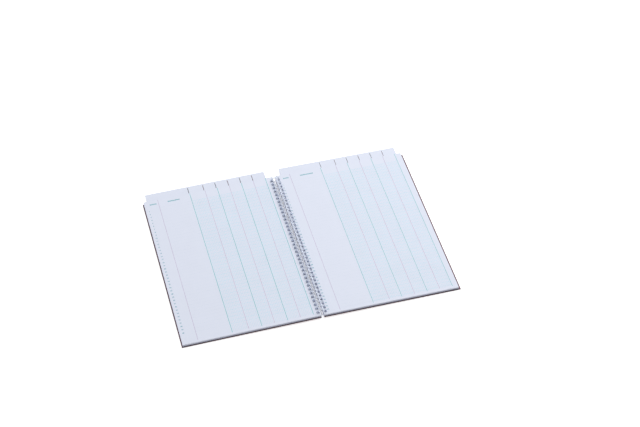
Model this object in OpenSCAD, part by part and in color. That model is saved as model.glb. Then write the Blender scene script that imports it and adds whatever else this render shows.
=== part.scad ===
// Columnar ledger, bound with twin-loop wire and lying open at its middle.
// X runs across the two pages, Y up the page, Z up from the table.
// Origin: centre of the footprint, on the table.

/* [Covers] */
// Width of a cover board, from its bound edge to its fore-edge
cover_w = 229.3; // [120:0.1:320]
// Height of a cover board
cover_h = 322; // [200:0.5:400]
// Thickness of a cover board
cover_t = 1.3; // [0.6:0.1:2]
// Radius of a cover board's corners
cover_corner_r = 1.5; // [0.5:0.1:6]
// Half of the gap between the two boards at the wire
cover_edge = 2.3; // [1:0.1:2.6]
// Strip of board left between its bound edge and its holes
cover_strip = 1; // [0.8:0.1:1.8]

/* [Leaves] */
// How far the boards stand proud of a plain leaf at its head and foot
end_overhang = 0.2; // [0:0.1:6]
// How far the boards stand proud of the leaves at the fore-edge
fore_overhang = 2.7; // [0.2:0.1:6]
// Thickness of the leaves on each side
leaves_t = 4.7; // [3:0.1:7]
// Strip of paper left between a leaf's bound edge and its holes
leaf_strip = 1.7; // [1:0.1:2.5]
// Extra width of a leaf's holes on the side of its bound edge
leaf_ease = 0.95; // [0:0.05:1.2]
// Air left between the leaves and what they lie against
leaf_air = 0.05; // [0.02:0.01:0.2]

/* [Header leaf] */
// How far the header leaf stands above the plain leaves
header_rise = 20.2; // [8:0.1:40]
// Thickness of the header leaf, the lowest sheet of each side
header_t = 0.4; // [0.2:0.05:1]
// Width of the notch at the header leaf's bound side
notch_bound_w = 10.7; // [4:0.1:30]
// Width of the notch at the header leaf's fore-edge side
notch_fore_w = 6.1; // [3:0.1:30]
// Radius of the header leaf's top corners
header_corner_r = 2; // [0.5:0.1:6]

/* [Wire] */
// Diameter of the wire
wire_d = 1; // [0.8:0.05:1.2]
// Distance from one loop to the next
pitch = 8.467; // [6.35:0.001:12.7]
// Distance between the two strands of a loop, centre to centre
strand_gap = 2.3; // [1.8:0.1:2.8]
// Least distance from the first loop to the leaves' bottom edge
end_margin = 6.2; // [5:0.1:14]
// Radial play between the wire and the edges of the holes
wire_play = 0.15; // [0.1:0.05:0.4]
// Play between a loop's strands and the ends of its hole
strand_play = 0.25; // [0.1:0.05:0.5]
// Gap left at the closed seam between a loop's tip and the bars
seam_gap = 0.15; // [0.05:0.05:0.4]
// Size of the bend where a strand turns into a bar
bar_bend = 0.9; // [0.6:0.1:1.4]

/* [Hidden] */
$fn = 48;

// The wire is one six-sided tube; each strand takes this many straight steps round the ring
wire_sides = 6;
strand_steps = 10;

// Depths below the wire's axis, for a page plane that passes through the axis
leaves_top = leaf_air;
leaves_bottom = leaves_top + leaves_t;
board_top = leaves_bottom + leaf_air;
board_bottom = board_top + cover_t;

// The ring just holds the boards' strips: its radii come from their far corner
board_hole_in = cover_edge + cover_strip;
inside_reach = sqrt(pow(board_hole_in, 2) + pow(board_bottom, 2));
flat_r = wire_d / 2 * cos(180 / wire_sides);
ring_mid = (inside_reach + wire_play + flat_r) / cos(180 / strand_steps);
ring_out = ring_mid + flat_r;
outside_reach = ring_out + wire_play;
board_hole_out = sqrt(pow(outside_reach, 2) - pow(board_top, 2));
leaf_hole_in = sqrt(pow(inside_reach, 2) - pow(leaves_bottom, 2)) - leaf_ease;
leaf_hole_out = outside_reach;
leaf_edge = leaf_hole_in - leaf_strip;

// Both sides lean from the ring, which stands on the table, down to their fore-edges
board_fore = cover_edge + cover_w;
leaf_fore = board_fore - fore_overhang;
axis_z = ring_out;
lean = asin(axis_z / sqrt(pow(board_fore, 2) + pow(board_bottom, 2))) - atan(board_bottom / board_fore);

// Places up the page
leaf_h = cover_h - 2 * end_overhang;
header_top = max(end_overhang + leaf_h + header_rise, cover_h);
board_y = -header_top / 2;
leaf_y = board_y + end_overhang;
loops = floor((leaf_h - 2 * end_margin) / pitch) + 1;
hole_l = strand_gap + wire_d + 2 * strand_play;

// Angles on the ring, in degrees from straight down towards the right side
mm = 180 / (PI * ring_mid);
bar_angle = 2;
tip_r = strand_gap / 2;
strand_start = bar_angle - bar_bend * mm;
strand_end = bar_angle + (wire_d + seam_gap + tip_r) * mm;
strand_turn = 360 + strand_start - strand_end;

cut_over = 1;
tab_root = 10;

board_colour = [0.52, 0.21, 0.26];
paper_colour = [0.86, 0.89, 0.94];
wire_colour = [0.72, 0.73, 0.75];

function loop_y(k) = leaf_y + end_margin + k * pitch;

// Flat plate with round corners, its lower left corner at the origin
module round_plate(w, h, t, r) {
    linear_extrude(height = t)
        union() {
            translate([r, 0]) square([w - 2 * r, h]);
            translate([0, r]) square([w, h - 2 * r]);
            for (x = [r, w - r], y = [r, h - r]) {
                translate([x, y]) circle(r = r);
            }
        }
}

// Row of oblong holes between two distances from the axis and two depths
module hole_row(x_in, x_out, depth_top, depth_bottom) {
    for (k = [0:loops - 1]) {
        translate([x_in, loop_y(k) - hole_l / 2, -depth_bottom - cut_over])
            cube([x_out - x_in, hole_l, depth_bottom - depth_top + 2 * cut_over]);
    }
}

// Right-hand board, in the axis's frame
module board() {
    difference() {
        translate([cover_edge, board_y, -board_bottom])
            round_plate(cover_w, cover_h, cover_t, cover_corner_r);
        hole_row(board_hole_in, board_hole_out, board_top, board_bottom);
    }
}

// Right-hand leaves as one block, with the header leaf's tab at its head
module leaves() {
    tab_w = leaf_fore - leaf_edge - notch_bound_w - notch_fore_w;
    difference() {
        union() {
            translate([leaf_edge, leaf_y, -leaves_bottom])
                cube([leaf_fore - leaf_edge, leaf_h, leaves_t]);
            translate([leaf_edge + notch_bound_w, leaf_y + leaf_h - tab_root, -leaves_bottom])
                round_plate(tab_w, header_rise + tab_root, header_t, header_corner_r);
        }
        hole_row(leaf_hole_in, leaf_hole_out, leaves_top, leaves_bottom);
    }
}

// Stands a right-hand piece on the ring and leans it down to the table
module right_side() {
    translate([0, 0, axis_z]) rotate([0, lean, 0]) children();
}

module left_side() {
    mirror([1, 0, 0]) right_side() children();
}

// The wire's centre line is a list of [angle on the ring, y], running on from loop to loop
function strand_out(y) = [for (i = [0:strand_steps]) [strand_start - strand_turn * i / strand_steps, y]];
function strand_back(y) = [for (i = [strand_steps:-1:0]) [strand_start - strand_turn * i / strand_steps, y]];
function tip(y) = [for (a = [60, 120]) [strand_end - 360 - tip_r * sin(a) * mm, y - tip_r * cos(a)]];
function bar(y_low, y_high) = [[bar_angle, y_low + bar_bend], [bar_angle, y_high - bar_bend]];
function loop(y) = concat(strand_out(y - tip_r), tip(y), strand_back(y + tip_r));
function link(k) = k == loops - 1 ? [] : bar(loop_y(k) + tip_r, loop_y(k + 1) - tip_r);
function wire_line() = [for (k = [0:loops - 1]) for (p = concat(loop(loop_y(k)), link(k))) p];

// Direction away from the ring's axis, a point of the line in space, and a unit vector
function outward(p) = [sin(p[0]), 0, -cos(p[0])];
function on_ring(p) = outward(p) * ring_mid + [0, p[1], axis_z];
function unit(v) = v / norm(v);

// Ring of points round the line at p, square to the way from a to b
function tube_ring(a, p, b) =
    let (way = unit(on_ring(b) - on_ring(a)))
    let (side = unit(cross(way, outward(p))))
    let (up = cross(side, way))
    [for (i = [0:wire_sides - 1])
        let (t = (i + 0.5) * 360 / wire_sides)
        on_ring(p) + (up * cos(t) + side * sin(t)) * wire_d / 2];

function tube_points(line) =
    let (n = len(line))
    [for (i = [0:n - 1]) each tube_ring(line[max(i - 1, 0)], line[i], line[min(i + 1, n - 1)])];

function tube_walls(n) =
    [for (i = [0:n - 2], j = [0:wire_sides - 1])
        let (a = i * wire_sides + j)
        let (b = i * wire_sides + (j + 1) % wire_sides)
        each [[a, a + wire_sides, b], [b, a + wire_sides, b + wire_sides]]];

function tube_ends(n) = [
    [for (j = [0:wire_sides - 1]) j],
    [for (j = [wire_sides - 1:-1:0]) (n - 1) * wire_sides + j]
];

module front_cover() {
    color(board_colour) left_side() board();
}

module back_cover() {
    color(board_colour) right_side() board();
}

module left_pages() {
    color(paper_colour) left_side() leaves();
}

module right_pages() {
    color(paper_colour) right_side() leaves();
}

module binding_wire() {
    line = wire_line();
    n = len(line);
    color(wire_colour) polyhedron(points = tube_points(line), faces = concat(tube_walls(n), tube_ends(n)));
}

front_cover();
back_cover();
left_pages();
right_pages();
binding_wire();
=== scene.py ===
"""Dresses the open columnar ledger: punched leaves, printed ruling, card covers and twin-loop wire."""

import logging
import math
import random
from dataclasses import dataclass, field
from enum import Enum
from typing import Callable

import bmesh
import bpy
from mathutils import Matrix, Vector

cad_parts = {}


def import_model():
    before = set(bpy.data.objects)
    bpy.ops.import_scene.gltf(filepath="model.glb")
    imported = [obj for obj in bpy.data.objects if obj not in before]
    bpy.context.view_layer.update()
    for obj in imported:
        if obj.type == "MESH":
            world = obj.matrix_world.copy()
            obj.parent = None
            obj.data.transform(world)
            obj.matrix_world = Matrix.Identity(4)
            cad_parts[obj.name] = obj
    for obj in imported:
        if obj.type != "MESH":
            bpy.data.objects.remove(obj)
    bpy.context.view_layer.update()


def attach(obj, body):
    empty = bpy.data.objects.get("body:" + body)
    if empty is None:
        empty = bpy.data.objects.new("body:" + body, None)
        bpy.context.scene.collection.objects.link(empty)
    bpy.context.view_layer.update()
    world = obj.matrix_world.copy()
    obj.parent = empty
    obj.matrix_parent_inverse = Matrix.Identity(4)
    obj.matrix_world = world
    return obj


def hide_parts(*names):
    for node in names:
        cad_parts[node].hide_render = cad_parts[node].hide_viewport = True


LOG = logging.getLogger("ledger")
MM = 0.001

Colour = tuple[float, float, float]
Point = tuple[float, float, float]


class Side(Enum):
    """The two sides of the open ledger, as the reader sees them."""

    LEFT = -1
    RIGHT = 1

    @property
    def word(self) -> str:
        """The side's name, as the piece names use it."""
        return self.name.lower()


class Ink(Enum):
    """The inks of the printed sheet."""

    PINK = "pink"
    CYAN = "cyan"
    FINE = "fine"
    FAINT = "faint"
    NUMBER = "number"
    HEAD = "head"
    TAB_PINK = "tab_pink"
    TAB_CYAN = "tab_cyan"


def srgb(r: float, g: float, b: float) -> Colour:
    """Turns a colour of 0 to 255, as a picture shows it, into linear light.

    Args:
        r: Red.
        g: Green.
        b: Blue.

    Returns:
        The linear red, green and blue, each from 0 to 1.
    """
    def one(c: float) -> float:
        """Turns one channel."""
        c /= 255
        return c / 12.92 if c <= 0.04045 else ((c + 0.055) / 1.055) ** 2.4

    return one(r), one(g), one(b)


@dataclass(frozen=True)
class Book:
    """The sizes that every sub-assembly shares, in millimetres, as the CAD has them.

    u runs out from the wire's axis along a page, v runs up the page and w is the height over the
    plane that passes through the axis and leans down to the fore-edge.
    """

    axis_z: float = 8.3384
    lean_deg: float = 0.55383
    board_in: float = 2.3
    board_out: float = 231.6
    board_low: float = -171.0
    board_high: float = 151.0
    board_top: float = -4.8
    board_bottom: float = -6.1
    board_hole: tuple[float, float] = (3.3, 7.0)
    leaf_in: float = 2.403
    leaf_out: float = 228.9
    leaf_low: float = -170.8
    leaf_high: float = 150.8
    leaf_top: float = -0.05
    leaf_bottom: float = -4.75
    leaf_hole: tuple[float, float] = (4.103, 8.488)
    hole_long: float = 3.8
    tab_in: float = 13.1
    tab_out: float = 222.8
    tab_high: float = 171.0
    header_thick: float = 0.4
    first_loop: float = -164.6
    pitch: float = 8.467
    loops: int = 37

    def loop_v(self, k: int) -> float:
        """The middle of loop k, up the page."""
        return self.first_loop + k * self.pitch

    def place(self, side: Side, u: float, v: float, w: float) -> Point:
        """Puts a page point into the row frame.

        Args:
            side: The side of the book.
            u: Distance out from the wire's axis.
            v: Distance up the page from the footprint's centre.
            w: Height over the leaning plane through the axis.

        Returns:
            The point in metres.
        """
        a = math.radians(self.lean_deg)
        x = u * math.cos(a) + w * math.sin(a)
        z = w * math.cos(a) - u * math.sin(a) + self.axis_z
        return side.value * x * MM, v * MM, z * MM


BOOK = Book()


# Shader parts


class Shader:
    """A material's node tree with short ways to add, set and join nodes."""

    def __init__(self, name: str) -> None:
        """Starts an empty material with its output and one Principled BSDF.

        Args:
            name: The material's name.
        """
        self.material = bpy.data.materials.new(name)
        self.material.use_nodes = True
        self.tree = self.material.node_tree
        self.tree.nodes.clear()
        self.out = self.tree.nodes.new("ShaderNodeOutputMaterial")
        self.skin = self.tree.nodes.new("ShaderNodeBsdfPrincipled")
        self.join(self.skin, "BSDF", self.out, "Surface")

    def add(self, kind: str, **values: object) -> bpy.types.Node:
        """Adds a node and sets the attributes given."""
        node = self.tree.nodes.new(kind)
        for key, value in values.items():
            setattr(node, key, value)
        return node

    def group(self, tree: bpy.types.NodeTree, **values: float | Colour) -> bpy.types.Node:
        """Places a node group with its own input values.

        Args:
            tree: The group's node tree.
            **values: Values for its inputs, by name with _ for a space.

        Returns:
            The group's node.
        """
        node = self.tree.nodes.new("ShaderNodeGroup")
        node.node_tree = tree
        for key, value in values.items():
            socket = node.inputs[key.replace("_", " ")]
            socket.default_value = (*value, 1.0) if isinstance(value, tuple) else value
        return node

    def join(self, a: bpy.types.Node, out: str, b: bpy.types.Node, into: str) -> None:
        """Joins an output of one node to an input of another."""
        self.tree.links.new(a.outputs[out], b.inputs[into])

    def set(self, **values: float | Colour) -> None:
        """Sets plain values on the Principled BSDF, by socket name with _ for a space."""
        for key, value in values.items():
            socket = self.skin.inputs[key.replace("_", " ")]
            socket.default_value = (*value, 1.0) if isinstance(value, tuple) else value


class Effects:
    """Builds the shader node groups that the finishes share, each of them once."""

    def __init__(self) -> None:
        """Builds every group."""
        self.fibre = self._fibre()
        self.grain = self._grain()
        self.scratch = self._scratch()

    @staticmethod
    def _open(name: str, inputs: dict[str, float | Colour], outputs: dict[str, str]) -> tuple:
        """Starts a node group with its sockets.

        Args:
            name: The group's name.
            inputs: Default value of each input; a tuple makes a colour.
            outputs: Socket type of each output.

        Returns:
            The tree, its input node and its output node.
        """
        tree = bpy.data.node_groups.new(name, "ShaderNodeTree")
        for key, value in inputs.items():
            kind = "NodeSocketColor" if isinstance(value, tuple) else "NodeSocketFloat"
            socket = tree.interface.new_socket(key, in_out="INPUT", socket_type=kind)
            socket.default_value = (*value, 1.0) if isinstance(value, tuple) else value
        for key, kind in outputs.items():
            tree.interface.new_socket(key, in_out="OUTPUT", socket_type=kind)
        return tree, tree.nodes.new("NodeGroupInput"), tree.nodes.new("NodeGroupOutput")

    @staticmethod
    def _noise(tree: bpy.types.NodeTree, scale: float, detail: float,
               stretch: Point = (1, 1, 1)) -> bpy.types.Node:
        """Adds object-space noise to a group.

        Args:
            tree: The group's tree.
            scale: Noise scale, in waves a metre.
            detail: Octaves.
            stretch: Scale along each axis before the noise.

        Returns:
            The noise node.
        """
        where = tree.nodes.new("ShaderNodeTexCoord")
        mapping = tree.nodes.new("ShaderNodeMapping")
        mapping.inputs["Scale"].default_value = stretch
        noise = tree.nodes.new("ShaderNodeTexNoise")
        noise.inputs["Scale"].default_value = scale
        noise.inputs["Detail"].default_value = detail
        tree.links.new(where.outputs["Object"], mapping.inputs["Vector"])
        tree.links.new(mapping.outputs["Vector"], noise.inputs["Vector"])
        return noise

    @staticmethod
    def _math(tree: bpy.types.NodeTree, kind: str, *inputs: object) -> bpy.types.Node:
        """Adds a Math node whose inputs are numbers or output sockets."""
        node = tree.nodes.new("ShaderNodeMath")
        node.operation = kind
        for i, value in enumerate(inputs):
            if isinstance(value, bpy.types.NodeSocket):
                tree.links.new(value, node.inputs[i])
            else:
                node.inputs[i].default_value = value
        return node

    def _fibre(self) -> bpy.types.NodeTree:
        """Paper: a faint cloudy look-through, and fibres as height."""
        tree, into, out = self._open(
            "paper_fibre",
            {"Colour": (0.8, 0.8, 0.8), "Cloud": 0.03, "Fibre": 0.5},
            {"Colour": "NodeSocketColor", "Height": "NodeSocketFloat"},
        )
        cloud = self._noise(tree, 45, 3)
        fibre = self._noise(tree, 1400, 2, (1, 0.35, 1))
        centred = self._math(tree, "SUBTRACT", cloud.outputs["Fac"], 0.5)
        swing = self._math(tree, "MULTIPLY", centred.outputs[0], into.outputs["Cloud"])
        level = self._math(tree, "ADD", swing.outputs[0], 1.0)
        mix = tree.nodes.new("ShaderNodeVectorMath")
        mix.operation = "SCALE"
        tree.links.new(into.outputs["Colour"], mix.inputs[0])
        tree.links.new(level.outputs[0], mix.inputs["Scale"])
        tree.links.new(mix.outputs[0], out.inputs["Colour"])
        height = self._math(tree, "MULTIPLY", fibre.outputs["Fac"], into.outputs["Fibre"])
        tree.links.new(height.outputs[0], out.inputs["Height"])
        return tree

    def _grain(self) -> bpy.types.NodeTree:
        """Cover card: pebbled grain as height, and its shade between two colours."""
        tree, into, out = self._open(
            "card_grain",
            {"Low": (0.1, 0.02, 0.03), "High": (0.2, 0.04, 0.06), "Size": 900.0},
            {"Colour": "NodeSocketColor", "Height": "NodeSocketFloat"},
        )
        where = tree.nodes.new("ShaderNodeTexCoord")
        cells = tree.nodes.new("ShaderNodeTexVoronoi")
        tree.links.new(where.outputs["Object"], cells.inputs["Vector"])
        tree.links.new(into.outputs["Size"], cells.inputs["Scale"])
        broad = self._noise(tree, 60, 4)
        shade = self._math(tree, "MULTIPLY_ADD", cells.outputs["Distance"], 0.5, 0.1)
        both = self._math(tree, "MULTIPLY_ADD", broad.outputs["Fac"], 0.6, shade.outputs[0])
        mix = tree.nodes.new("ShaderNodeMix")
        mix.data_type = "RGBA"
        tree.links.new(both.outputs[0], mix.inputs["Factor"])
        tree.links.new(into.outputs["Low"], mix.inputs["A"])
        tree.links.new(into.outputs["High"], mix.inputs["B"])
        tree.links.new(mix.outputs["Result"], out.inputs["Colour"])
        tree.links.new(cells.outputs["Distance"], out.inputs["Height"])
        return tree

    def _scratch(self) -> bpy.types.NodeTree:
        """Drawn wire: roughness that varies along it, and fine scratches as height."""
        tree, into, out = self._open(
            "drawn_wire",
            {"Roughness": 0.25, "Spread": 0.15},
            {"Roughness": "NodeSocketFloat", "Height": "NodeSocketFloat"},
        )
        broad = self._noise(tree, 400, 3)
        fine = self._noise(tree, 5000, 2, (1, 0.2, 1))
        centred = self._math(tree, "SUBTRACT", broad.outputs["Fac"], 0.5)
        rough = self._math(
            tree, "MULTIPLY_ADD", centred.outputs[0], into.outputs["Spread"], into.outputs["Roughness"])
        tree.links.new(rough.outputs[0], out.inputs["Roughness"])
        tree.links.new(fine.outputs["Fac"], out.inputs["Height"])
        return tree


# Finishes


@dataclass(frozen=True)
class PaperFinish:
    """Smooth ledger paper."""

    name: str
    colour: Colour
    roughness: float = 0.62
    cloud: float = 0.03

    def build(self, effects: Effects) -> bpy.types.Material:
        """Makes the material from the shared fibre group."""
        shader = Shader(self.name)
        fibre = shader.group(effects.fibre, Colour=self.colour, Cloud=self.cloud, Fibre=0.5)
        shader.join(fibre, "Colour", shader.skin, "Base Color")
        bump = shader.add("ShaderNodeBump")
        bump.inputs["Strength"].default_value = 0.12
        bump.inputs["Distance"].default_value = 0.00004
        shader.join(fibre, "Height", bump, "Height")
        shader.join(bump, "Normal", shader.skin, "Normal")
        shader.set(Roughness=self.roughness, Specular_IOR_Level=0.3)
        return shader.material


@dataclass(frozen=True)
class InkFinish:
    """Printing ink, a little uneven where it sinks into the paper."""

    name: str
    colour: Colour

    def build(self, effects: Effects) -> bpy.types.Material:
        """Makes the material from the shared fibre group."""
        shader = Shader(self.name)
        fibre = shader.group(effects.fibre, Colour=self.colour, Cloud=0.25, Fibre=0.3)
        shader.join(fibre, "Colour", shader.skin, "Base Color")
        shader.set(Roughness=0.7, Specular_IOR_Level=0.25)
        return shader.material


@dataclass(frozen=True)
class CardFinish:
    """Grained burgundy cover card."""

    name: str
    low: Colour
    high: Colour

    def build(self, effects: Effects) -> bpy.types.Material:
        """Makes the material from the shared grain group."""
        shader = Shader(self.name)
        grain = shader.group(effects.grain, Low=self.low, High=self.high, Size=900.0)
        shader.join(grain, "Colour", shader.skin, "Base Color")
        bump = shader.add("ShaderNodeBump")
        bump.inputs["Strength"].default_value = 0.35
        bump.inputs["Distance"].default_value = 0.0001
        shader.join(grain, "Height", bump, "Height")
        shader.join(bump, "Normal", shader.skin, "Normal")
        shader.set(Roughness=0.48, Specular_IOR_Level=0.4)
        return shader.material


@dataclass(frozen=True)
class WireFinish:
    """Bright silver-coated wire."""

    name: str
    colour: Colour
    roughness: float = 0.3

    def build(self, effects: Effects) -> bpy.types.Material:
        """Makes the material from the shared drawn-wire group."""
        shader = Shader(self.name)
        drawn = shader.group(effects.scratch, Roughness=self.roughness, Spread=0.18)
        shader.join(drawn, "Roughness", shader.skin, "Roughness")
        bump = shader.add("ShaderNodeBump")
        bump.inputs["Strength"].default_value = 0.08
        bump.inputs["Distance"].default_value = 0.00003
        shader.join(drawn, "Height", bump, "Height")
        shader.join(bump, "Normal", shader.skin, "Normal")
        shader.set(Base_Color=self.colour, Metallic=1.0)
        return shader.material


class Palette:
    """Every finish of the ledger, built once."""

    def __init__(self, effects: Effects) -> None:
        """Builds the materials.

        Args:
            effects: The shared shader node groups.
        """
        self.paper = PaperFinish("ledger_paper", srgb(216, 221, 235)).build(effects)
        # Painted shade: three tones for the leaves' cut edges, darker in steps towards the bottom of the
        # stack.
        self.leaf_edges = [
            PaperFinish(f"leaf_edges_{i + 1}", tone, 0.8, 0.1).build(effects)
            for i, tone in enumerate((srgb(212, 214, 227), srgb(178, 180, 195), srgb(102, 102, 117)))
        ]
        self.punched = PaperFinish("punched_edges", srgb(222, 227, 244), 0.9, 0.2).build(effects)
        self.card = CardFinish("cover_card", srgb(112, 42, 56), srgb(152, 66, 82)).build(effects)
        # Painted shadow: the boards' cut edges are near-black, standing in for their shade and the contact
        # shadow under them.
        self.card_edge_painted_shadow = CardFinish("cut_card_edge", srgb(16, 9, 13), srgb(34, 18, 25)).build(effects)
        self.card_core = CardFinish(
            "punched_card_edge", srgb(196, 200, 214), srgb(214, 218, 232)).build(effects)
        # Painted shade: the boards' top faces, under the leaves, are darker and greyer than the card
        # outside.
        self.card_inside_painted_shade = CardFinish("card_inside_painted_shade", srgb(78, 44, 58), srgb(112, 70, 84)).build(effects)
        self.wire = WireFinish("binding_wire", srgb(212, 219, 232)).build(effects)
        inks = {
            Ink.PINK: srgb(180, 160, 192),
            Ink.CYAN: srgb(78, 183, 187),
            Ink.FINE: srgb(158, 216, 232),
            Ink.FAINT: srgb(190, 206, 222),
            Ink.NUMBER: srgb(110, 165, 182),
            Ink.HEAD: srgb(118, 176, 186),
            Ink.TAB_PINK: srgb(84, 48, 60),
            Ink.TAB_CYAN: srgb(34, 46, 56),
        }
        self.inks = {
            ink: InkFinish(f"ink_{ink.value}", colour).build(effects) for ink, colour in inks.items()
        }


# Mesh helpers


def finish_mesh(name: str, bm: bmesh.types.BMesh, materials: list[bpy.types.Material], body: str,
                smooth: bool = False) -> bpy.types.Object:
    """Turns a bmesh into a piece that rides on a body.

    Args:
        name: The piece's name.
        bm: The mesh, in the row frame, in metres; it is freed here.
        materials: The piece's materials, in slot order.
        body: The CAD body that it rides on.
        smooth: Whether its faces are shaded smooth.

    Returns:
        The piece.
    """
    for face in bm.faces:
        face.smooth = smooth
    mesh = bpy.data.meshes.new(name)
    bm.to_mesh(mesh)
    bm.free()
    for material in materials:
        mesh.materials.append(material)
    piece = bpy.data.objects.new(name, mesh)
    bpy.context.scene.collection.objects.link(piece)
    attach(piece, body)
    LOG.info("%s: %d faces", name, len(mesh.polygons))
    return piece


@dataclass
class Plate:
    """A thin punched plate, such as a leaf or a cover, built on a grid of cells."""

    side: Side
    u_lines: list[float]
    v_lines: list[float]
    solid: Callable[[float, float], bool]
    top: Callable[[float, float], float]
    bottom: Callable[[float, float], float]
    shift: Callable[[float, float], tuple[float, float]] = lambda u, v: (0.0, 0.0)
    top_slot: int = 0
    wall_slot: int = 0
    hole_slot: int = 0

    def add_to(self, bm: bmesh.types.BMesh) -> None:
        """Adds the closed plate to a mesh.

        Args:
            bm: The mesh that takes it.
        """
        us, vs = self.u_lines, self.v_lines
        made: dict[tuple[int, int, int], bmesh.types.BMVert] = {}

        def vertex(i: int, j: int, layer: int) -> bmesh.types.BMVert:
            """The vertex at a grid crossing, made when first asked for."""
            key = (i, j, layer)
            if key not in made:
                u, v = us[i], vs[j]
                w = (self.top if layer else self.bottom)(u, v)
                du, dv = self.shift(u, v)
                made[key] = bm.verts.new(BOOK.place(self.side, u + du, v + dv, w))
            return made[key]

        cells = {
            (i, j)
            for i in range(len(us) - 1)
            for j in range(len(vs) - 1)
            if self.solid((us[i] + us[i + 1]) / 2, (vs[j] + vs[j + 1]) / 2)
        }
        flip = self.side is Side.LEFT

        def face(slot: int, *corners: bmesh.types.BMVert) -> None:
            """Adds a face with its material, turned outwards on both sides of the book."""
            bm.faces.new(corners[::-1] if flip else corners).material_index = slot

        for i, j in cells:
            face(self.top_slot,
                 vertex(i, j, 1), vertex(i + 1, j, 1), vertex(i + 1, j + 1, 1), vertex(i, j + 1, 1))
            face(0, vertex(i, j + 1, 0), vertex(i + 1, j + 1, 0), vertex(i + 1, j, 0), vertex(i, j, 0))
            walls = {
                (0, -1): ((i, j), (i + 1, j)),
                (1, 0): ((i + 1, j), (i + 1, j + 1)),
                (0, 1): ((i + 1, j + 1), (i, j + 1)),
                (-1, 0): ((i, j + 1), (i, j)),
            }
            for (di, dj), (a, b) in walls.items():
                if (i + di, j + dj) not in cells:
                    at_wire = us[i] < BOOK.tab_in and 0 <= j + dj < len(vs) - 1
                    slot = self.hole_slot if at_wire else self.wall_slot
                    face(slot, vertex(*a, 0), vertex(*b, 0), vertex(*b, 1), vertex(*a, 1))


def spread(start: float, end: float, step: float) -> list[float]:
    """Values from start to end, about step apart, without the two ends."""
    n = max(1, round((end - start) / step))
    return [start + (end - start) * i / n for i in range(1, n)]


def hole_lines() -> list[float]:
    """The two ends of every hole, up the page."""
    half = BOOK.hole_long / 2
    return [BOOK.loop_v(k) + s * half for k in range(BOOK.loops) for s in (-1, 1)]


def in_hole(u: float, v: float, hole: tuple[float, float]) -> bool:
    """Whether a page point lies in the row of holes.

    Args:
        u: Distance out from the axis.
        v: Distance up the page.
        hole: The holes' inner and outer distances from the axis.

    Returns:
        True in a hole.
    """
    if not hole[0] < u < hole[1]:
        return False
    k = round((v - BOOK.first_loop) / BOOK.pitch)
    return 0 <= k < BOOK.loops and abs(v - BOOK.loop_v(k)) < BOOK.hole_long / 2


# The leaves


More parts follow.
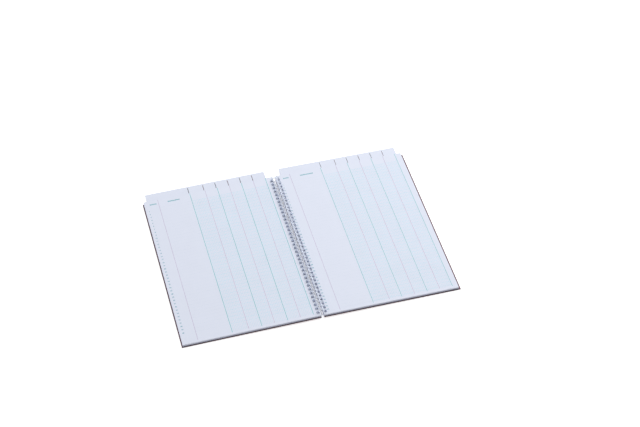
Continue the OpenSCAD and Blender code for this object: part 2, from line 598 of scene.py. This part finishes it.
@dataclass
class LeafStack:
    """One side's leaves: plain leaves over a taller header leaf, all punched."""

    side: Side
    palette: Palette
    leaves: int = 15
    air: float = 0.02
    wander_in: float = 0.22
    wander_out: float = 0.05
    wander_ends: float = 0.15
    lower_cell: float = 300
    open_cell: float = 25
    tab_cell: float = 5
    seed: int = 4

    def build(self) -> list[bpy.types.Object]:
        """Builds the leaves under the top one, the header leaf and the top leaf.

        Returns:
            The pieces.
        """
        return [self._lower_leaves(), self._header_leaf(), self._top_leaf()]

    @property
    def _pitch(self) -> float:
        """From one plain leaf to the next."""
        return (BOOK.leaf_top - BOOK.leaf_bottom - BOOK.header_thick) / self.leaves

    def _plain(self, bm: bmesh.types.BMesh, level: int, step: float, du: float, dv: float) -> None:
        """Adds one plain leaf.

        Args:
            bm: The mesh that takes it.
            level: Its place in the stack, 0 at the top.
            step: Size of its cells away from the holes.
            du: How far its fore-edge wanders out.
            dv: How far its ends wander up.
        """
        high = BOOK.leaf_top - level * self._pitch
        thick = self._pitch - self.air
        us = [BOOK.leaf_in, *BOOK.leaf_hole, *spread(BOOK.leaf_hole[1], BOOK.leaf_out, step), BOOK.leaf_out]
        vs = [BOOK.leaf_low, *hole_lines(), BOOK.leaf_high]

        def shift(u: float, v: float) -> tuple[float, float]:
            """Moves the outer edges only, so the holes stay in line."""
            out = du if u >= BOOK.leaf_out else 0.0
            ends = dv if v in (BOOK.leaf_low, BOOK.leaf_high) else 0.0
            return out, ends

        # The cut edges of the leaves under the top one take painted shade, darker in steps towards the
        # bottom of the stack.
        Plate(self.side, us, vs, lambda u, v: not in_hole(u, v, BOOK.leaf_hole),
              lambda u, v: high, lambda u, v: high - thick, shift,
              wall_slot=0 if level == 0 else 2 + (level - 1) * 3 // self.leaves, hole_slot=1).add_to(bm)

    def _lower_leaves(self) -> bpy.types.Object:
        """The plain leaves under the top one, in one mesh."""
        bm = bmesh.new()
        chance = random.Random(self.seed + self.side.value)
        for level in range(1, self.leaves):
            out = chance.uniform(-self.wander_in, self.wander_out)
            ends = chance.uniform(-self.wander_ends, self.wander_ends)
            self._plain(bm, level, self.lower_cell, out, ends)
        piece = finish_mesh(f"{self.side.word}_leaves", bm,
                            [self.palette.paper, self.palette.punched, *self.palette.leaf_edges],
                            f"{self.side.word}_pages")
        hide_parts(f"{self.side.word}_pages")
        return piece

    def _top_leaf(self) -> bpy.types.Object:
        """The leaf that lies open."""
        bm = bmesh.new()
        self._plain(bm, 0, self.open_cell, 0.0, 0.0)
        return finish_mesh(f"{self.side.word}_top_leaf", bm, [self.palette.paper, self.palette.punched],
                           f"{self.side.word}_pages")

    def _header_leaf(self) -> bpy.types.Object:
        """The taller leaf at the bottom, with its tab."""
        bm = bmesh.new()
        low, thick = BOOK.leaf_bottom, BOOK.header_thick - self.air
        us = [BOOK.leaf_in, *BOOK.leaf_hole, BOOK.tab_in,
              *spread(BOOK.tab_in, BOOK.tab_out, self.open_cell), BOOK.tab_out, BOOK.leaf_out]
        vs = [BOOK.leaf_low, *hole_lines(), BOOK.leaf_high,
              *spread(BOOK.leaf_high, BOOK.tab_high, self.tab_cell), BOOK.tab_high]

        def solid(u: float, v: float) -> bool:
            """The leaf without its holes and the two notches beside the tab."""
            if v > BOOK.leaf_high:
                return BOOK.tab_in < u < BOOK.tab_out
            return not in_hole(u, v, BOOK.leaf_hole)

        # The header leaf's cut edges take the darkest tone of the painted shade.
        Plate(self.side, us, vs, solid, lambda u, v: low + thick, lambda u, v: low,
              wall_slot=2, hole_slot=1).add_to(bm)
        return finish_mesh(f"{self.side.word}_header_leaf", bm,
                           [self.palette.paper, self.palette.punched, self.palette.leaf_edges[2]],
                           f"{self.side.word}_pages")


# The print


@dataclass
class Print:
    """The ruling and numbers of one open page, as thin ink laid on the paper.

    x and y are page places as read from the front: x runs right from the wire's axis on both pages
    and y runs up from the leaf's bottom edge.
    """

    side: Side
    palette: Palette
    numbers_x: float
    margin_x: float
    rules: list[tuple[Ink, float]]
    tab_rules: list[tuple[Ink, float]]
    heads: list[tuple[float, float]]
    first_row: float
    last_row: float
    turn_deg: float = 0.0
    row: float = 7.03
    pink_w: float = 0.48
    cyan_w: float = 0.7
    tab_w: float = 0.9
    ink_high: float = 0.02
    leaf_air: float = 0.02
    turn_at: tuple[float, float] = (115.0, 160.0)
    rule_foot: float = 4
    head_gap: float = 0.6
    tab_foot: float = 1.2
    tab_head: float = 17.5
    row_drop: float = 2.2
    unit_gap: float = 2.7
    digit_high: float = 3.3
    digit_bold: float = 0.03
    head_line: float = 312.8
    block_w: float = 2.0
    meshes: dict[Ink, bmesh.types.BMesh] = field(default_factory=dict)

    def _spot(self, x: float, y: float, tab: bool = False) -> Point:
        """Puts a print place on the paper, with the sheet's small turn.

        Args:
            x: Place across, from the axis.
            y: Place up, from the leaf's bottom edge.
            tab: Whether it lies on the header leaf.

        Returns:
            The point in the row frame, in metres.
        """
        a = math.radians(0.0 if tab else self.turn_deg)
        cx, cy = self.side.value * self.turn_at[0], self.turn_at[1]
        dx, dy = x - cx, y - cy
        x, y = cx + dx * math.cos(a) - dy * math.sin(a), cy + dx * math.sin(a) + dy * math.cos(a)
        w = BOOK.leaf_bottom + BOOK.header_thick - self.leaf_air if tab else BOOK.leaf_top
        return BOOK.place(self.side, abs(x), BOOK.leaf_low + y, w + self.ink_high)

    def _mesh(self, ink: Ink) -> bmesh.types.BMesh:
        """The mesh that gathers one ink."""
        if ink not in self.meshes:
            self.meshes[ink] = bmesh.new()
        return self.meshes[ink]

    def _bar(self, ink: Ink, x0: float, y0: float, x1: float, y1: float, tab: bool = False) -> None:
        """Adds an upright rectangle of ink.

        Args:
            ink: The ink.
            x0: Left side.
            y0: Bottom.
            x1: Right side.
            y1: Top.
            tab: Whether it lies on the header leaf.
        """
        bm = self._mesh(ink)
        corners = ((x0, y0), (x1, y0), (x1, y1), (x0, y1))
        bm.faces.new([bm.verts.new(self._spot(x, y, tab)) for x, y in corners])

    def _rules(self) -> None:
        """The coloured upright rules."""
        top = BOOK.leaf_high - BOOK.leaf_low - self.head_gap
        for ink, x in [(Ink.PINK, self.margin_x), *self.rules]:
            half = (self.pink_w if ink is Ink.PINK else self.cyan_w) / 2
            self._bar(ink, x - half, self.rule_foot, x + half, top)
        for ink, x in self.tab_rules:
            dark = Ink.TAB_PINK if ink is Ink.PINK else Ink.TAB_CYAN
            half = self.tab_w / 2
            self._bar(dark, x - half, top + self.tab_foot, x + half, top + self.tab_head, tab=True)

    def _rows(self) -> None:
        """The thin lines that carry the rows."""
        x0, x1 = self.rules[0][1], self.rules[-1][1]
        y = self.first_row - self.row_drop
        while y < self.last_row + self.row:
            self._bar(Ink.FINE, x0, y - 0.1, x1, y + 0.1)
            self._bar(Ink.FAINT, self.margin_x, y - 0.04, x0, y + 0.04)
            y += self.row

    def _units(self) -> None:
        """The fine upright lines that divide each money column."""
        xs = [x for _, x in self.rules]
        for a, b in zip(xs, xs[1:]):
            parts = round((b - a) / self.unit_gap)
            for i in range(1, parts):
                x = a + (b - a) * i / parts
                self._bar(Ink.FINE, x - 0.09, 5, x + 0.09, self.last_row + 5)

    def _number(self, text: str, x: float, y: float, size: float, ink: Ink) -> None:
        """Adds a row number, right-aligned at x.

        Args:
            text: The digits.
            x: Right end.
            y: Base line.
            size: Height of the font.
            ink: The ink.
        """
        curve = bpy.data.curves.new("digits", "FONT")
        curve.body = text
        curve.size = size
        curve.offset = self.digit_bold * size
        curve.align_x = "RIGHT"
        curve.resolution_u = 2
        holder = bpy.data.objects.new("digits", curve)
        mesh = holder.to_mesh()
        bm = self._mesh(ink)
        verts = [bm.verts.new(self._spot(x + p.co.x, y + p.co.y)) for p in mesh.vertices]
        for face in mesh.polygons:
            bm.faces.new([verts[i] for i in face.vertices])
        holder.to_mesh_clear()
        bpy.data.objects.remove(holder)
        bpy.data.curves.remove(curve)

    def _numbers(self) -> None:
        """The row numbers, from 1 at the top."""
        rows = round((self.last_row - self.first_row) / self.row) + 1
        for i in range(rows):
            y = self.last_row - i * self.row
            self._number(str(i + 1), self.numbers_x + 1.9, y - 1.1, self.digit_high, Ink.NUMBER)

    def _heads(self) -> None:
        """The blank words at the head of the first columns, each a run of small blocks."""
        y = self.head_line
        for x0, x1 in self.heads:
            blocks = round((x1 - x0) / self.block_w)
            step = (x1 - x0) / blocks
            for i in range(blocks):
                x = x0 + i * step
                self._bar(Ink.HEAD, x, y - 1.1, x + 0.8 * step, y + (1.1 if i % 3 else 1.4))

    def build(self) -> list[bpy.types.Object]:
        """Lays all the print.

        Returns:
            One piece per ink.
        """
        self._units()
        self._rows()
        self._rules()
        self._numbers()
        self._heads()
        pieces = []
        for ink, bm in self.meshes.items():
            name = f"{self.side.word}_print_{ink.value}"
            body = f"{self.side.word}_pages"
            pieces.append(finish_mesh(name, bm, [self.palette.inks[ink]], body))
        return pieces


# Covers and wire


@dataclass
class CoverBoard:
    """One cover: a thin grained card with its row of holes.

    Both boards have slid a little to the right and down under the leaves, as the ledger lies. Only
    their outer edges show it, and their holes stay in line with the wire.
    """

    side: Side
    palette: Palette
    node: str
    body: str
    edge_round: float = 0.22
    cell: float = 45
    slide: tuple[float, float] = (1.0, -0.7)

    def _shift(self, u: float, v: float) -> tuple[float, float]:
        """How far a point of the board has slid, out and up."""
        out = self.side.value * self.slide[0] if u >= BOOK.board_out else 0.0
        up = self.slide[1] if v in (BOOK.board_low, BOOK.board_high) else 0.0
        return out, up

    def build(self) -> bpy.types.Object:
        """Builds the board.

        Returns:
            The piece.
        """
        bm = bmesh.new()
        us = [BOOK.board_in, *BOOK.board_hole,
              *spread(BOOK.board_hole[1], BOOK.board_out, self.cell), BOOK.board_out]
        vs = [BOOK.board_low, *hole_lines(), BOOK.board_high]
        # The board's cut outer edges take the near-black painted shadow.
        Plate(self.side, us, vs, lambda u, v: not in_hole(u, v, BOOK.board_hole),
              lambda u, v: BOOK.board_top, lambda u, v: BOOK.board_bottom, self._shift,
              top_slot=3, wall_slot=1, hole_slot=2).add_to(bm)
        # Slot 3, the board's top face under the leaves, is the darker painted shade.
        piece = finish_mesh(self.node + "_card", bm,
                            [self.palette.card, self.palette.card_edge_painted_shadow, self.palette.card_core,
                             self.palette.card_inside_painted_shade],
                            self.body)
        bevel = piece.modifiers.new("soft_edges", "BEVEL")
        bevel.width = self.edge_round * MM
        bevel.segments = 2
        bevel.limit_method = "ANGLE"
        bevel.angle_limit = math.radians(60)
        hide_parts(self.node)
        return piece


@dataclass
class TwinLoopWire:
    """The binding: one wire that runs out and back round the ring at every loop."""

    palette: Palette
    wire_d: float = 1.0
    ring_r: float = 7.64
    strand_gap: float = 2.3
    seam_deg: float = 2.0
    bar_bend: float = 0.9
    seam_gap: float = 0.15
    steps: int = 40
    sides: int = 10

    def _line(self) -> list[tuple[float, float]]:
        """The centre line as angles on the ring and places along it.

        Returns:
            Pairs of degrees from straight down and millimetres up the page.
        """
        mm = 180 / (math.pi * self.ring_r)
        half = self.strand_gap / 2
        start = self.seam_deg - self.bar_bend * mm
        end = self.seam_deg + (self.wire_d + self.seam_gap + half) * mm
        turn = 360 + start - end
        line: list[tuple[float, float]] = []
        for k in range(BOOK.loops):
            v = BOOK.loop_v(k)
            line += [(start - turn * i / self.steps, v - half) for i in range(self.steps + 1)]
            line += [
                (end - 360 - half * math.sin(math.radians(a)) * mm, v - half * math.cos(math.radians(a)))
                for a in range(20, 180, 20)
            ]
            line += [(start - turn * i / self.steps, v + half) for i in range(self.steps, -1, -1)]
            if k < BOOK.loops - 1:
                line += self._bar(v + half, BOOK.loop_v(k + 1) - half, start, mm)
        return line

    def _bar(self, low: float, high: float, start: float, mm: float) -> list[tuple[float, float]]:
        """The bar between two loops, with a round bend at each end.

        Args:
            low: Where the lower strand stands.
            high: Where the upper strand stands.
            start: The strands' angle at the bar.
            mm: Degrees a millimetre takes on the ring.

        Returns:
            Its points, as angles and places.
        """
        r = self.bar_bend
        bend = [math.radians(a) for a in (22.5, 45, 67.5, 90)]
        first = [(start + r * math.sin(a) * mm, low + r * (1 - math.cos(a))) for a in bend]
        last = [(start + r * math.sin(a) * mm, high - r * (1 - math.cos(a))) for a in reversed(bend)]
        return first + last

    def _point(self, angle: float, v: float) -> Vector:
        """A point of the centre line in millimetres."""
        a = math.radians(angle)
        return Vector((math.sin(a) * self.ring_r, v, BOOK.axis_z - math.cos(a) * self.ring_r))

    def build(self) -> bpy.types.Object:
        """Sweeps the round wire along its line.

        Returns:
            The piece.
        """
        line = self._line()
        points = [self._point(a, v) for a, v in line]
        bm = bmesh.new()
        last: list[bmesh.types.BMVert] = []
        for i, point in enumerate(points):
            way = (points[min(i + 1, len(points) - 1)] - points[max(i - 1, 0)]).normalized()
            out = Vector((point.x, 0, point.z - BOOK.axis_z)).normalized()
            across = way.cross(out).normalized()
            up = across.cross(way)
            ring = []
            for s in range(self.sides):
                t = 2 * math.pi * s / self.sides
                reach = (up * math.cos(t) + across * math.sin(t)) * self.wire_d / 2
                ring.append(bm.verts.new((point + reach) * MM))
            for s in range(self.sides if last else 0):
                n = (s + 1) % self.sides
                bm.faces.new((last[s], last[n], ring[n], ring[s]))
            if i in (0, len(points) - 1):
                bm.faces.new(ring if i else ring[::-1])
            last = ring
        bmesh.ops.recalc_face_normals(bm, faces=bm.faces)
        piece = finish_mesh("twin_loop_wire", bm, [self.palette.wire], "back", smooth=True)
        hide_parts("binding_wire")
        return piece


# The studio


@dataclass
class Studio:
    """Pale floor, soft light and the photograph's camera."""

    camera_at: Point = (-0.4475, -1.7922, 2.0299)
    look_at: Point = (0.0561, 0.0523, 0.0)
    lens: float = 92.38
    floor_colour: Colour = (0.93, 0.93, 0.93)
    floor_lift: float = 0.5
    world_level: float = 0.62

    def build(self) -> None:
        """Builds the floor, the world, the lamps and the camera."""
        self._floor()
        self._world()
        self._lamp("key_softbox", (1.1, 1.0, 1.8), 1.8, 32)
        self._lamp("fill_softbox", (-1.8, -0.8, 2.2), 2.4, 8)
        self._camera()

    def _floor(self) -> None:
        """A wide pale floor that the camera sees as white."""
        bm = bmesh.new()
        bmesh.ops.create_grid(bm, x_segments=1, y_segments=1, size=12)
        mesh = bpy.data.meshes.new("floor")
        bm.to_mesh(mesh)
        bm.free()
        floor = bpy.data.objects.new("floor", mesh)
        floor.location.z = -0.0001
        bpy.context.scene.collection.objects.link(floor)
        mesh.materials.append(self._floor_paint())

    def _floor_paint(self) -> bpy.types.Material:
        """White paint that camera, glossy and transmission rays see lifted, with the shadow kept.

        Returns:
            The floor's material.
        """
        shader = Shader("studio_floor")
        shader.set(Base_Color=self.floor_colour, Roughness=0.9, Specular_IOR_Level=0.1)
        path = shader.add("ShaderNodeLightPath")
        either = shader.add("ShaderNodeMath", operation="MAXIMUM")
        shader.join(path, "Is Camera Ray", either, "Value")
        shader.tree.links.new(path.outputs["Is Glossy Ray"], either.inputs[1])
        seen = shader.add("ShaderNodeMath", operation="MAXIMUM")
        shader.tree.links.new(either.outputs[0], seen.inputs[0])
        shader.tree.links.new(path.outputs["Is Transmission Ray"], seen.inputs[1])
        lift = shader.add("ShaderNodeMath", operation="MULTIPLY")
        shader.tree.links.new(seen.outputs[0], lift.inputs[0])
        lift.inputs[1].default_value = self.floor_lift
        glow = shader.add("ShaderNodeEmission")
        shader.join(lift, "Value", glow, "Strength")
        both = shader.add("ShaderNodeAddShader")
        shader.tree.links.new(shader.skin.outputs["BSDF"], both.inputs[0])
        shader.tree.links.new(glow.outputs["Emission"], both.inputs[1])
        shader.join(both, "Shader", shader.out, "Surface")
        return shader.material

    def _world(self) -> None:
        """A white world at a plain level."""
        world = bpy.data.worlds.new("studio")
        world.use_nodes = True
        world.node_tree.nodes["Background"].inputs["Color"].default_value = (1, 1, 1, 1)
        world.node_tree.nodes["Background"].inputs["Strength"].default_value = self.world_level
        bpy.context.scene.world = world

    @staticmethod
    def _lamp(name: str, at: Point, size: float, watts: float) -> None:
        """Adds a square soft lamp aimed at the ledger."""
        data = bpy.data.lights.new(name, "AREA")
        data.shape = "SQUARE"
        data.size = size
        data.energy = watts
        lamp = bpy.data.objects.new(name, data)
        lamp.location = at
        lamp.rotation_euler = (-Vector(at)).to_track_quat("-Z", "Y").to_euler()
        bpy.context.scene.collection.objects.link(lamp)

    def _camera(self) -> None:
        """Sets the camera where the photograph was taken from."""
        data = bpy.data.cameras.new("camera")
        data.lens = self.lens
        data.sensor_width = 36.0
        data.clip_start, data.clip_end = 0.05, 50
        camera = bpy.data.objects.new("camera", data)
        camera.location = self.camera_at
        way = Vector(self.look_at) - Vector(self.camera_at)
        camera.rotation_euler = way.to_track_quat("-Z", "Y").to_euler()
        bpy.context.scene.collection.objects.link(camera)
        bpy.context.scene.camera = camera
        bpy.context.scene.view_settings.view_transform = "Standard"


# Putting it together


def left_print(palette: Palette) -> Print:
    """The left page's layout."""
    p, c = Ink.PINK, Ink.CYAN
    return Print(
        Side.LEFT, palette, -223.7, -204.0,
        [(c, -148.0), (p, -121.2), (c, -99.8), (p, -78.6), (c, -57.2), (p, -36.2), (c, -14.8)],
        [(c, -149.0), (p, -122.5), (c, -101.0), (p, -79.0), (c, -57.5), (p, -36.0)],
        [(-219.0, -207.0), (-188.0, -167.0)], 24.0, 298.0, turn_deg=0.2,
    )


def right_print(palette: Palette) -> Print:
    """The right page's layout."""
    p, c = Ink.PINK, Ink.CYAN
    return Print(
        Side.RIGHT, palette, 10.1, 28.7,
        [(c, 84.5), (p, 111.6), (c, 132.7), (p, 154.5), (c, 175.8), (p, 197.0), (c, 218.7)],
        [(c, 86.2), (p, 113.0), (c, 134.5), (p, 156.0), (c, 177.8), (p, 199.5)],
        [(15.5, 25.5), (46.0, 69.0)], 10.0, 298.0, turn_deg=0.36, cyan_w=0.6, tab_w=0.72,
    )


def main() -> None:
    """Builds the dressed ledger piece by piece."""
    logging.basicConfig(level=logging.INFO, format="%(name)s: %(message)s")
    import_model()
    palette = Palette(Effects())
    for side in Side:
        LeafStack(side, palette).build()
    left_print(palette).build()
    right_print(palette).build()
    CoverBoard(Side.LEFT, palette, "front_cover", "front").build()
    CoverBoard(Side.RIGHT, palette, "back_cover", "back").build()
    TwinLoopWire(palette).build()
    Studio().build()


if __name__ == "__main__":
    main()
